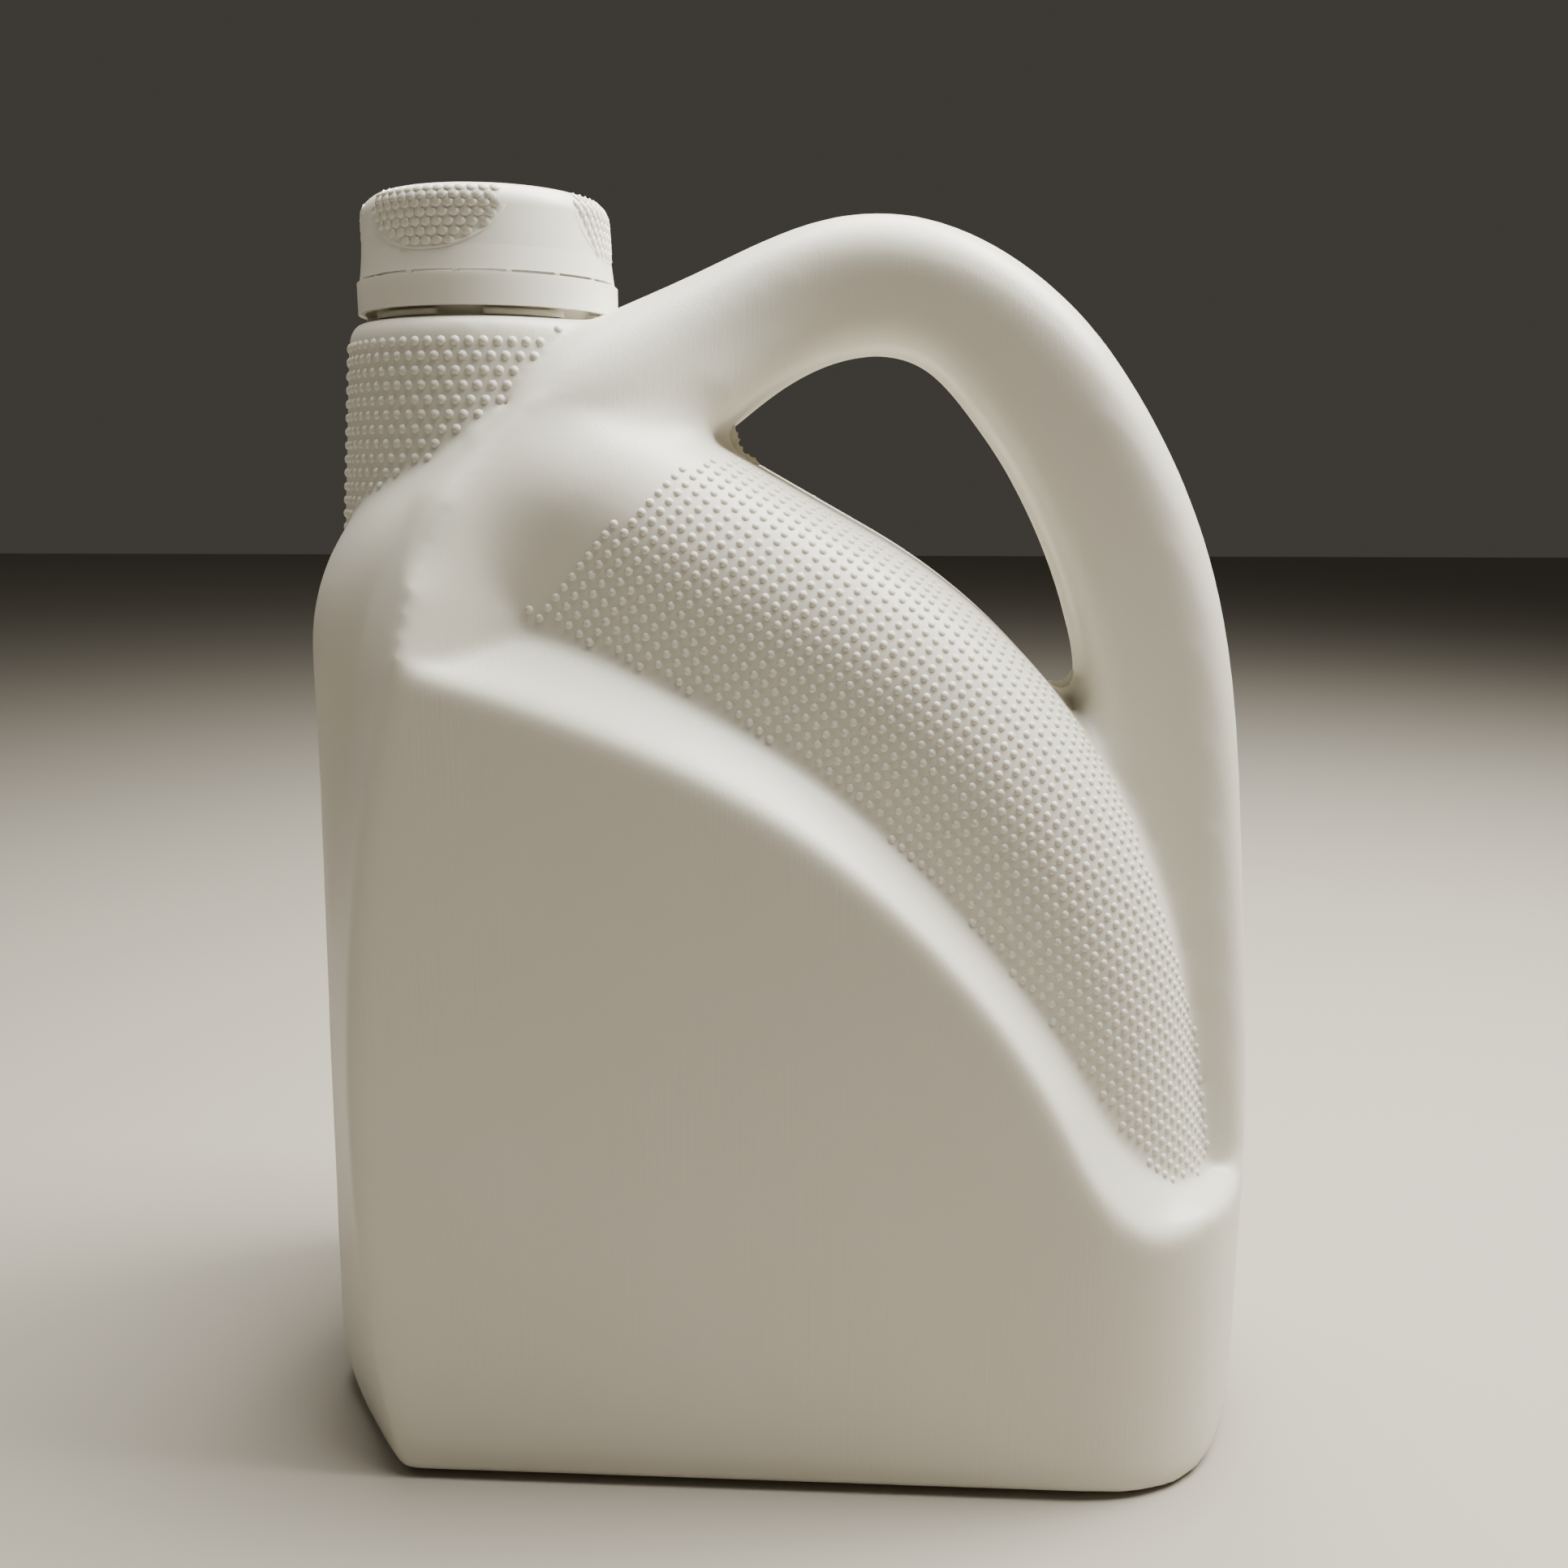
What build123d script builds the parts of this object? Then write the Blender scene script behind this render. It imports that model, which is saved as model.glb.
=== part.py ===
from build123d import *
import math
import os

os.makedirs("parts", exist_ok=True)

# A blow-moulded canister for about four litres of lubricant, in millimetres.
# X runs towards the handle, Y away from the front face, Z up. The body is the same front and back.

# Body seen from the front
BODY_LEFT = -110.0
BODY_RIGHT = 112.0
SHOULDER_X = -104.8
SHOULDER_Z = 209.9
RIDGE_X = -48.0
RIDGE_Z = 250.5
SHOULDER_ROUND = 48.0
RIDGE_ROUND = 45.0
BASE_CORNER_ROUND = 16.0
BASE_EDGE_ROUND = 5.0
WALL = 1.2

# Body seen from above: flat label faces and a round end on the handle side
LABEL_DEPTH = 118.0
ROUND_END = 45.0
ROUND_END_POWER = 2.5
ROUND_END_ANGLES = (90, 66, 45, 24, 0)

# Grip panel, the rounded part behind the ledge
GRIP_DEPTH = 92.0
GRIP_ROUND = 27.5
GRIP_CORNER_X = 83.4
GRIP_CORNER_Z = 176.5
GRIP_SWEEP_ROUND = 150.0
GRIP_FOOT_ROUND = 20.0
GRIP_END_X = 107.0
GRIP_END_Z = 40.0
GRIP_FLOOR_Z = 16.0
GRIP_LEFT = -106.5

# Bevelled strip along the left edge of the label face: its crease on the face, then its outer edge
STRIP_SIDE_DEPTH = 44.0
STRIP_FOOT_Z = -6.0
STRIP_FOOT_X = -80.2
STRIP_BOW = (-89.8, 83.0)
STRIP_TOP = (-76.5, 180.0)
STRIP_CREASE_BEND = (-69.5, 200.0)
STRIP_CREASE_END = (-56.0, 219.0)
STRIP_CREASE_RUNOUT = (-20.0, 245.0)
STRIP_SIDE_FOOT_X = -110.2
STRIP_SIDE_TOP = (-106.0, 168.0)
STRIP_SIDE_BEND = (-102.0, 201.0)
STRIP_SIDE_END = (-88.0, 222.5)
STRIP_SIDE_RUNOUT = (-20.0, 271.0)

# Ledge between the label face and the grip panel: its lower edge, then its upper crease
LEDGE_BACK_DEPTH = 88.0
LEDGE_TIP = (-74.5, 186.0)
LEDGE_PEAK = (-52.0, 194.0)
LEDGE_PEAK_RISE = 1.5
SHOULDER_FACET_POINT = (-64.0, -49.6, 212.0)
LEDGE_FRONT_LINE = [
    (-33.3, 171.7),
    (-0.4, 156.4),
    (36.4, 126.8),
    (62.8, 89.6),
    (76.0, 67.5),
    (86.2, 61.3),
    (100.0, 66.5),
    (115.0, 74.0),
]
LEDGE_BACK_LINE = [
    (-19.9, 181.0),
    (9.1, 163.1),
    (44.0, 128.9),
    (69.6, 95.1),
    (84.0, 73.5),
    (91.0, 67.8),
    (103.0, 66.0),
    (118.0, 62.0),
]

# Handle sections: x, z, slope, height, outer depth, inner depth, outer round, inner round
HANDLE_SECTIONS = [
    (-56.0, 222.5, 36.0, 33.0, 80.0, 84.0, 15.0, 8.0),
    (-36.0, 240.5, 34.0, 33.0, 68.0, 66.0, 15.5, 8.0),
    (-14.0, 253.2, 30.0, 31.0, 48.0, 42.0, 14.0, 8.0),
    (3.5, 262.2, 17.0, 29.5, 40.0, 31.0, 12.5, 8.0),
    (22.0, 266.2, 0.0, 29.8, 37.0, 28.0, 12.0, 8.0),
    (44.2, 258.7, -32.0, 30.0, 37.0, 28.0, 11.5, 8.0),
    (63.1, 238.8, -52.5, 32.5, 38.0, 29.0, 11.0, 8.5),
    (76.6, 215.0, -66.7, 33.0, 40.0, 31.0, 10.5, 8.5),
    (85.8, 187.0, -79.0, 33.0, 43.0, 34.0, 10.0, 8.5),
    (89.5, 150.0, -86.0, 35.0, 47.0, 38.0, 9.0, 8.0),
    (91.6, 105.0, -88.0, 37.0, 53.0, 44.0, 8.0, 8.0),
    (92.0, 60.0, -90.0, 39.0, 57.0, 50.0, 8.0, 8.0),
    (92.0, 28.0, -90.0, 39.0, 58.0, 54.0, 8.0, 8.0),
]

# Pinch-off webs left by the mould in the two corners of the finger gap
WEB_THICKNESS = 1.0
NECK_SIDE_WEB = [(-6.0, 241.5), (-24.0, 241.5), (-24.0, 226.0), (-5.0, 226.5)]
NECK_SIDE_WEB_EDGE = (-10.8, 234.4)
LOW_WEB = [(72.5, 187.0), (82.0, 187.0), (76.0, 165.0), (57.0, 176.0)]
LOW_WEB_EDGE = (68.8, 177.6)

# Collar and neck
NECK_X = -67.0
COLLAR_TOP_Z = 257.8
COLLAR_TOP_R = 31.4
COLLAR_FOOT_Z = 214.0
COLLAR_FOOT_R = 34.8
COLLAR_BURIED_Z = 192.0
COLLAR_OPEN_Z = 200.0
COLLAR_BEVEL = 1.8
COLLAR_WALL = 1.6
COLLAR_ROOF = 1.0
COLLAR_ROOF_SLOPE = 3.0
NECK_BASE_R = 25.2
NECK_BASE_TOP_Z = 265.2
NECK_STEP = 1.0
NECK_R = 23.6
NECK_WALL = 2.4
LIP_Z = 280.6
LUG_COUNT = 6
LUG_HEIGHT = 1.3
LUG_WIDTH = 2.2
LUG_ANGLE = 38.0
LUG_SINK = 1.0
BEAD_Z = 263.6
BEAD_HEIGHT = 2.0
BEAD_OUT = 1.5

# Cap and sealing disc, with the room that the screw thread takes between neck and cap
THREAD_ROOM = 1.9
CAP_FOOT_Z = 266.9
CAP_FOOT_R = 28.6
CAP_FLARE = 5.0
CAP_WAIST_R = 28.0
CAP_TOP_R = 27.2
CAP_TOP_Z = 285.0
CAP_EDGE_ROUND = 5.0
CAP_MOUTH_R = 27.0
CAP_LEAD_IN = 1.4
LINER_THICKNESS = 1.2
LINER_MARGIN = 0.5

# Tamper band
BAND_FOOT_Z = 259.6
BAND_TOP_Z = 266.2
BAND_R = 29.3
BAND_WALL = 1.5
BAND_GAP = 0.3
HOOK_HEIGHT = 1.6
HOOK_EDGE = 0.6
BRIDGE_COUNT = 16
BRIDGE_WIDTH = 1.2
BRIDGE_DEPTH = 0.8
BRIDGE_ROOT = 0.5

HALF_LABEL = LABEL_DEPTH / 2
HALF_GRIP = GRIP_DEPTH / 2
NECK_BORE_R = NECK_R - NECK_WALL
BEAD_R = NECK_BASE_R + BEAD_OUT
CAP_BORE_R = NECK_R + THREAD_ROOM
LINER_TOP_Z = LIP_Z + LINER_THICKNESS

# Working sizes: room beyond the body for cuts, steps along an inset curve, and how far the front
# and side views run past the label block, so that no two of its faces lie on each other
FAR = 300.0
CURVE_SAMPLES = 12
VIEW_OVERRUN = 0.25


def front_plane(y):
    """A plane across the bottle at depth y, seen from the front."""
    return Plane(origin=(0, y, 0), x_dir=(1, 0, 0), z_dir=(0, -1, 0))


def shrink(face, amount):
    """The face with its whole outline moved in by amount."""
    return offset(face, amount=-amount) if amount else face


def both_sides(solid):
    """The solid with its mirror image behind the parting plane."""
    return solid + mirror(solid, about=Plane.XZ)


def grip_body(inset):
    """The rounded body behind the label faces, with the shoulder and the grip panels."""
    corners = [
        (GRIP_LEFT, GRIP_FLOOR_Z),
        (SHOULDER_X, SHOULDER_Z),
        (RIDGE_X, RIDGE_Z),
        (GRIP_CORNER_X, GRIP_CORNER_Z),
        (GRIP_END_X, GRIP_END_Z),
        (GRIP_END_X, GRIP_FLOOR_Z),
    ]
    rounds = [SHOULDER_ROUND, RIDGE_ROUND, GRIP_SWEEP_ROUND, GRIP_FOOT_ROUND]
    line = FilletPolyline(*corners, radius=rounds)
    face = make_face([*line.edges(), Line(corners[-1], corners[0])])
    face = shrink(face, inset)
    depth = HALF_GRIP - inset
    body = extrude(front_plane(0) * face, amount=depth, both=True)
    rims = [e for e in body.edges() if abs(abs(e.center().Y) - depth) < 0.01]
    rims = [e for e in rims if e.center().Z > GRIP_FLOOR_Z + inset + 0.1]
    return fillet(rims, GRIP_ROUND - inset)


def lowered(curve, amount):
    """A curve beside the given one, moved down square to it by amount."""
    points = []
    for i in range(CURVE_SAMPLES + 1):
        place = i / CURVE_SAMPLES
        along = curve % place
        points.append(curve @ place + Vector(along.Y, -along.X) * amount)
    return Spline(*points)


def region_below(points, inset):
    """Everything in the front view that lies under a curve through the points."""
    curve = Spline(*points)
    if inset:
        curve = lowered(curve, inset)
    first = curve @ 0
    last = curve @ 1
    return make_face(
        [
            curve,
            Line((last.X, last.Y), (last.X, -FAR)),
            Line((last.X, -FAR), (-FAR, -FAR)),
            Line((-FAR, -FAR), (-FAR, first.Y)),
            Line((-FAR, first.Y), (first.X, first.Y)),
        ]
    )


def under_ledge(inset):
    """The room under the ledge, with its sloping face, on both sides."""
    front_points = [LEDGE_TIP, *LEDGE_FRONT_LINE]
    back_start = (LEDGE_TIP[0], LEDGE_PEAK[1] - LEDGE_PEAK_RISE)
    back_points = [back_start, LEDGE_PEAK, *LEDGE_BACK_LINE]
    slope_inset = inset * math.sqrt(2)
    front = region_below(front_points, slope_inset)
    back = region_below(back_points, slope_inset)
    back_y = LEDGE_BACK_DEPTH / 2
    front_y = HALF_LABEL + 2 * VIEW_OVERRUN
    slope = loft([front_plane(-back_y) * back, front_plane(-front_y) * front], ruled=True)
    core = extrude(front_plane(0) * back, amount=back_y, both=True)
    return core + both_sides(slope)


def shoulder_facet(inset):
    """The slanted facet above the tip of the ledge, on both sides."""
    tip = Vector(LEDGE_TIP[0], -HALF_LABEL, LEDGE_TIP[1])
    peak = Vector(LEDGE_PEAK[0], -HALF_GRIP, LEDGE_PEAK[1])
    third = Vector(*SHOULDER_FACET_POINT)
    normal = (peak - tip).cross(third - tip).normalized()
    room = Pos(RIDGE_X, 0, STRIP_TOP[1]) * Box(
        FAR, FAR, FAR, align=(Align.MAX, Align.MAX, Align.MIN)
    )
    cut = Plane(origin=peak - normal * inset, z_dir=normal)
    return both_sides(split(room, bisect_by=cut, keep=Keep.BOTTOM))


def front_view(inset):
    """The outline of the label block from the front, run through the full depth."""
    right = BODY_RIGHT + VIEW_OVERRUN
    corners = [(BODY_LEFT, 0), (SHOULDER_X, SHOULDER_Z), (RIDGE_X, RIDGE_Z), (right, RIDGE_Z), (right, 0)]
    rounds = [BASE_CORNER_ROUND, SHOULDER_ROUND, RIDGE_ROUND, 2, BASE_CORNER_ROUND]
    line = FilletPolyline(*corners, radius=rounds, close=True)
    face = shrink(make_face(line.edges()), inset)
    return extrude(front_plane(0) * face, amount=HALF_LABEL + 1, both=True)


def top_view(inset):
    """The outline of the label block from above, with its round end."""
    start_x = BODY_RIGHT - ROUND_END
    length = ROUND_END - inset
    half = HALF_LABEL - inset
    power = 2 / ROUND_END_POWER
    front = []
    for degrees in ROUND_END_ANGLES:
        a = math.radians(degrees)
        front.append((start_x + length * math.cos(a) ** power, -half * math.sin(a) ** power))
    back = [(x, -y) for x, y in reversed(front)]
    face = make_face(
        [
            Spline(*front, tangents=[(1, 0), (0, 1)]),
            Spline(*back, tangents=[(0, 1), (-1, 0)]),
            Line((start_x, half), (-FAR, half)),
            Line((-FAR, half), (-FAR, -half)),
            Line((-FAR, -half), (start_x, -half)),
        ]
    )
    return extrude(Pos(0, 0, -1) * face, amount=FAR, dir=(0, 0, 1))


def side_view(inset):
    """The outline of the label block from the side, with its rounded base edges."""
    width = LABEL_DEPTH + 2 * VIEW_OVERRUN
    face = Pos(0, FAR / 2) * RectangleRounded(width, FAR, BASE_EDGE_ROUND)
    plane = Plane(origin=(0, 0, 0), x_dir=(0, 1, 0), z_dir=(1, 0, 0))
    return extrude(plane * shrink(face, inset), amount=FAR / 2, both=True)


def strip_cut(inset):
    """What is cut away along the bowed left edge of the label face, on both sides."""
    inner = [
        ThreePointArc((STRIP_FOOT_X, STRIP_FOOT_Z), STRIP_BOW, STRIP_TOP),
        ThreePointArc(STRIP_TOP, STRIP_CREASE_BEND, STRIP_CREASE_END),
        Line(STRIP_CREASE_END, STRIP_CREASE_RUNOUT),
    ]
    outer = [
        Line((STRIP_SIDE_FOOT_X, STRIP_FOOT_Z), STRIP_SIDE_TOP),
        ThreePointArc(STRIP_SIDE_TOP, STRIP_SIDE_BEND, STRIP_SIDE_END),
        Line(STRIP_SIDE_END, STRIP_SIDE_RUNOUT),
    ]
    slope_inset = inset * 1.3
    faces = []
    for chain in (inner, outer):
        first = chain[0] @ 0
        last = chain[-1] @ 1
        face = make_face(
            [
                *chain,
                Line((last.X, last.Y), (last.X, FAR)),
                Line((last.X, FAR), (-FAR, FAR)),
                Line((-FAR, FAR), (-FAR, first.Y)),
                Line((-FAR, first.Y), (first.X, first.Y)),
            ]
        )
        faces.append(shrink(face, -slope_inset))
    inner_face, outer_face = faces
    side_plane = front_plane(-STRIP_SIDE_DEPTH / 2)
    face_plane = front_plane(-HALF_LABEL - 6 * VIEW_OVERRUN)
    return both_sides(loft([side_plane * outer_face, face_plane * inner_face], ruled=True))


def label_block(inset):
    """The deep lower part of the body with the two flat label faces."""
    block = front_view(inset) & top_view(inset) & side_view(inset)
    block = block & (under_ledge(inset) + shoulder_facet(inset))
    return block - strip_cut(inset)


def handle_profile(height, outer_depth, inner_depth, outer_round, inner_round):
    """One section of the handle, wide and softly rounded outside, narrower towards the fingers."""
    line = FilletPolyline(
        (outer_depth / 2, height / 2),
        (-outer_depth / 2, height / 2),
        (-inner_depth / 2, -height / 2),
        (inner_depth / 2, -height / 2),
        radius=[outer_round, outer_round, inner_round, inner_round],
        close=True,
    )
    return make_face(line.edges())


def handle_tube(inset):
    """The hollow handle, from the shoulder over the top and down into the round end."""
    sections = []
    for x, z, slope, height, outer_depth, inner_depth, outer_round, inner_round in HANDLE_SECTIONS:
        angle = math.radians(slope)
        along = (math.cos(angle), 0, math.sin(angle))
        plane = Plane(origin=(x, 0, z), x_dir=(0, 1, 0), z_dir=along)
        depths = (outer_depth - 2 * inset, inner_depth - 2 * inset)
        profile = handle_profile(height - 2 * inset, *depths, outer_round - inset, inner_round - inset)
        sections.append(plane * profile)
    return loft(sections)


def body_form(inset):
    """The outside of the body at no inset, or the cavity in it at the inset of the wall."""
    return grip_body(inset) + label_block(inset) + handle_tube(inset)


def turned(points):
    """A solid turned about the neck axis from a closed profile of radius and height pairs."""
    profile = make_face(Polyline(*points, close=True).edges())
    return Pos(NECK_X, 0, 0) * revolve(Plane.XZ * profile, Axis.Z)


def around_neck(solid, count):
    """Copies of the solid spread evenly round the neck axis."""
    turns = [Rot(0, 0, 360 * i / count) for i in range(count)]
    return [Pos(NECK_X, 0, 0) * turn * solid for turn in turns]


def neck_lug():
    """One of the low stops on the collar that keep the tamper band centred."""
    arc = CenterArc((0, 0), NECK_BASE_R + LUG_WIDTH / 2, -LUG_ANGLE / 2, LUG_ANGLE)
    lug = extrude(trace(arc, LUG_WIDTH), amount=LUG_HEIGHT + LUG_SINK)
    return Pos(0, 0, COLLAR_TOP_Z - LUG_SINK) * lug


def collar_and_neck():
    """The outside of the collar and of the neck above it."""
    collar = turned(
        [
            (0, COLLAR_BURIED_Z),
            (COLLAR_FOOT_R, COLLAR_BURIED_Z),
            (COLLAR_FOOT_R, COLLAR_FOOT_Z),
            (COLLAR_TOP_R, COLLAR_TOP_Z),
            (0, COLLAR_TOP_Z),
        ]
    )
    collar = chamfer(collar.edges().sort_by(Axis.Z)[-1:], COLLAR_BEVEL)
    neck = turned(
        [
            (0, COLLAR_FOOT_Z),
            (NECK_BASE_R, COLLAR_FOOT_Z),
            (NECK_BASE_R, NECK_BASE_TOP_Z),
            (NECK_R, NECK_BASE_TOP_Z + NECK_STEP),
            (NECK_R, LIP_Z),
            (0, LIP_Z),
        ]
    )
    half = BEAD_HEIGHT / 2
    bead = turned(
        [
            (NECK_R, BEAD_Z - half),
            (BEAD_R, BEAD_Z - half),
            (BEAD_R, BEAD_Z),
            (NECK_BASE_R, BEAD_Z + half),
            (NECK_R, BEAD_Z + half),
        ]
    )
    solid = collar + neck + bead
    for copy in around_neck(neck_lug(), LUG_COUNT):
        solid += copy
    return solid


def neck_bore():
    """The passage through the neck and the inside of the collar."""
    collar_foot = COLLAR_FOOT_R - COLLAR_WALL
    collar_top = COLLAR_TOP_R - COLLAR_WALL
    roof_z = COLLAR_TOP_Z - COLLAR_ROOF
    return turned(
        [
            (0, COLLAR_OPEN_Z),
            (collar_foot, COLLAR_OPEN_Z),
            (collar_foot, COLLAR_FOOT_Z),
            (collar_top, roof_z - COLLAR_ROOF_SLOPE),
            (NECK_BORE_R, roof_z),
            (NECK_BORE_R, LIP_Z + 1),
            (0, LIP_Z + 1),
        ]
    )


def pinch_web(corners, edge):
    """A thin web in a corner of the finger gap, with a rounded free edge."""
    face = make_face([Polyline(*corners), ThreePointArc(corners[-1], edge, corners[0])])
    return extrude(front_plane(0) * face, amount=WEB_THICKNESS / 2, both=True)


def bottle():
    """The whole blow-moulded bottle, one hollow piece."""
    solid = body_form(0) + collar_and_neck()
    solid += pinch_web(NECK_SIDE_WEB, NECK_SIDE_WEB_EDGE)
    solid += pinch_web(LOW_WEB, LOW_WEB_EDGE)
    return solid - (body_form(WALL) + neck_bore())


def cap():
    """The screw cap, hollow from below."""
    shell = turned(
        [
            (0, CAP_FOOT_Z),
            (CAP_FOOT_R, CAP_FOOT_Z),
            (CAP_WAIST_R, CAP_FOOT_Z + CAP_FLARE),
            (CAP_TOP_R, CAP_TOP_Z),
            (0, CAP_TOP_Z),
        ]
    )
    shell = fillet(shell.edges().sort_by(Axis.Z)[-1:], CAP_EDGE_ROUND)
    room = turned(
        [
            (0, CAP_FOOT_Z - 1),
            (CAP_MOUTH_R, CAP_FOOT_Z - 1),
            (CAP_MOUTH_R, CAP_FOOT_Z),
            (CAP_BORE_R, CAP_FOOT_Z + CAP_LEAD_IN),
            (CAP_BORE_R, LINER_TOP_Z),
            (0, LINER_TOP_Z),
        ]
    )
    return shell - room


def cap_liner():
    """The sealing disc between the lip of the neck and the top of the cap."""
    radius = CAP_BORE_R - LINER_MARGIN
    return turned([(0, LIP_Z), (radius, LIP_Z), (radius, LINER_TOP_Z), (0, LINER_TOP_Z)])


def tamper_band():
    """The band under the cap, with its hook below the neck bead and its thin bridges to the cap."""
    hook_top = BEAD_Z - BEAD_HEIGHT / 2 - BAND_GAP
    bore = BAND_R - BAND_WALL
    hook_r = NECK_BASE_R + BAND_GAP
    solid = turned(
        [
            (bore, BAND_FOOT_Z),
            (BAND_R, BAND_FOOT_Z),
            (BAND_R, BAND_TOP_Z),
            (bore, BAND_TOP_Z),
            (bore, hook_top),
            (hook_r, hook_top),
            (hook_r, hook_top - HOOK_EDGE),
            (bore, hook_top - HOOK_HEIGHT),
        ]
    )
    height = CAP_FOOT_Z - BAND_TOP_Z + BRIDGE_ROOT
    bridge = Pos(CAP_FOOT_R - BRIDGE_DEPTH, 0, BAND_TOP_Z - BRIDGE_ROOT) * Box(
        BRIDGE_DEPTH, BRIDGE_WIDTH, height, align=(Align.CENTER, Align.CENTER, Align.MIN)
    )
    for copy in around_neck(bridge, BRIDGE_COUNT):
        solid += copy
    return solid


NODES = {
    "bottle": bottle,
    "cap": cap,
    "cap_liner": cap_liner,
    "tamper_band": tamper_band,
}

for name, make in NODES.items():
    export_step(make(), f"parts/{name}.step")
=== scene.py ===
import logging
import math
from dataclasses import dataclass
from enum import Enum

import bmesh
import bpy
import numpy as np
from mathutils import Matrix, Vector
from mathutils.bvhtree import BVHTree


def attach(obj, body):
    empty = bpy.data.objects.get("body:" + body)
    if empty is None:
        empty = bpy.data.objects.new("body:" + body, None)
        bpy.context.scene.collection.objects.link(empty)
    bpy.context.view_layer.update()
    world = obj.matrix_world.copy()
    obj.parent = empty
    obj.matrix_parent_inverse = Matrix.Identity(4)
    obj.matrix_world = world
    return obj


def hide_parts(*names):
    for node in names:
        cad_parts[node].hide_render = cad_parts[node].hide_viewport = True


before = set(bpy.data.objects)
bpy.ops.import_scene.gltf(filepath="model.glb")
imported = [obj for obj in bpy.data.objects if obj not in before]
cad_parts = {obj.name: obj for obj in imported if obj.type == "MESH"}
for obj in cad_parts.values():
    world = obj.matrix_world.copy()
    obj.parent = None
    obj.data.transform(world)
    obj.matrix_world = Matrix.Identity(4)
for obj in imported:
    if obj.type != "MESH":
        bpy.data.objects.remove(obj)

LOG = logging.getLogger("lubricant_bottle")
MM = 0.001
Point = tuple[float, float, float]
Colour = tuple[float, float, float]
Face = tuple[int, ...]
Feeds = dict[str | int, object]

# Sizes that several pieces share, in millimetres
NECK_AXIS = (-67.0, 0.0)
COLLAR_TOP = 257.8


# Small helpers


def mesh_object(name: str, mesh: bpy.types.Mesh) -> bpy.types.Object:
    """Put a mesh into the scene.

    Args:
        name: Name of the new object.
        mesh: Mesh in metres, in the shared frame.

    Returns:
        The linked object.
    """
    piece = bpy.data.objects.new(name, mesh)
    bpy.context.scene.collection.objects.link(piece)
    return piece


def mesh_from(name: str, points: list[Point], faces: list[Face]) -> bpy.types.Mesh:
    """Build a mesh from points in millimetres.

    Args:
        name: Name of the mesh.
        points: Corner points in millimetres.
        faces: Corner numbers of each face.

    Returns:
        The mesh in metres.
    """
    mesh = bpy.data.meshes.new(name)
    mesh.from_pydata([tuple(v * MM for v in p) for p in points], [], faces)
    mesh.update()
    return mesh


def outward(mesh: bpy.types.Mesh) -> bpy.types.Mesh:
    """Turn every face of a closed mesh outward.

    Args:
        mesh: Mesh of one closed shell. It is changed.

    Returns:
        The same mesh.
    """
    work = bmesh.new()
    work.from_mesh(mesh)
    bmesh.ops.recalc_face_normals(work, faces=work.faces)
    work.to_mesh(mesh)
    work.free()
    return mesh


def swept_faces(steps: int, corners: int, closed: bool = True, first: int = 0) -> list[Face]:
    """Join the corners of a section that is swept in steps.

    Args:
        steps: Steps of the sweep. There is one more row of corners than steps.
        corners: Corners of the section.
        closed: Whether the section's last corner joins its first.
        first: Number of the first corner.

    Returns:
        The four-sided faces between the rows.
    """
    faces = []
    for step in range(steps):
        row = first + step * corners
        for j in range(corners if closed else corners - 1):
            a = row + j
            b = row + (j + 1) % corners
            faces.append((a, b, b + corners, a + corners))
    return faces


def end_faces(steps: int, corners: int) -> list[Face]:
    """The two faces that close the ends of a swept section."""
    return [tuple(range(corners)), tuple(steps * corners + i for i in reversed(range(corners)))]


def round_neck(radius: float, turn: float, height: float) -> Point:
    """A place in millimetres at a radius and a turn about the neck's axis."""
    return (NECK_AXIS[0] + radius * math.cos(turn), NECK_AXIS[1] + radius * math.sin(turn), height)


def neck_distance(place: Vector) -> float:
    """How far a point in metres lies from the neck's axis."""
    return Vector((place.x - NECK_AXIS[0] * MM, place.y - NECK_AXIS[1] * MM)).length


def plain_copy(source: bpy.types.Object, name: str) -> bpy.types.Object:
    """Turn an object with its modifiers into a plain mesh object.

    Args:
        source: Object whose evaluated mesh is wanted. It is removed.
        name: Name of the new object.

    Returns:
        The new object, without modifiers.
    """
    graph = bpy.context.evaluated_depsgraph_get()
    mesh = bpy.data.meshes.new_from_object(source.evaluated_get(graph), depsgraph=graph)
    source.modifiers.clear()
    bpy.data.objects.remove(source)
    mesh.name = name
    return mesh_object(name, mesh)


def shade_smooth(piece: bpy.types.Object, angle: float | None = None) -> None:
    """Shade a piece smooth.

    Args:
        piece: Piece to shade.
        angle: Edges sharper than this, in degrees, are kept crisp.
    """
    piece.data.shade_smooth()
    if angle is not None:
        piece.data.set_sharp_from_angle(angle=math.radians(angle))


def dress(piece: bpy.types.Object, material: bpy.types.Material) -> None:
    """Give a piece one material in place of what it has."""
    piece.data.materials.clear()
    piece.data.materials.append(material)


def finish_piece(piece: bpy.types.Object, body: str, material: bpy.types.Material) -> None:
    """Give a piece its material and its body.

    Args:
        piece: Piece of the object.
        body: Name of the body that carries it.
        material: Finish of the piece.
    """
    dress(piece, material)
    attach(piece, body)
    LOG.info("%s: %d faces, on %s", piece.name, len(piece.data.polygons), body)


# Node groups


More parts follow.
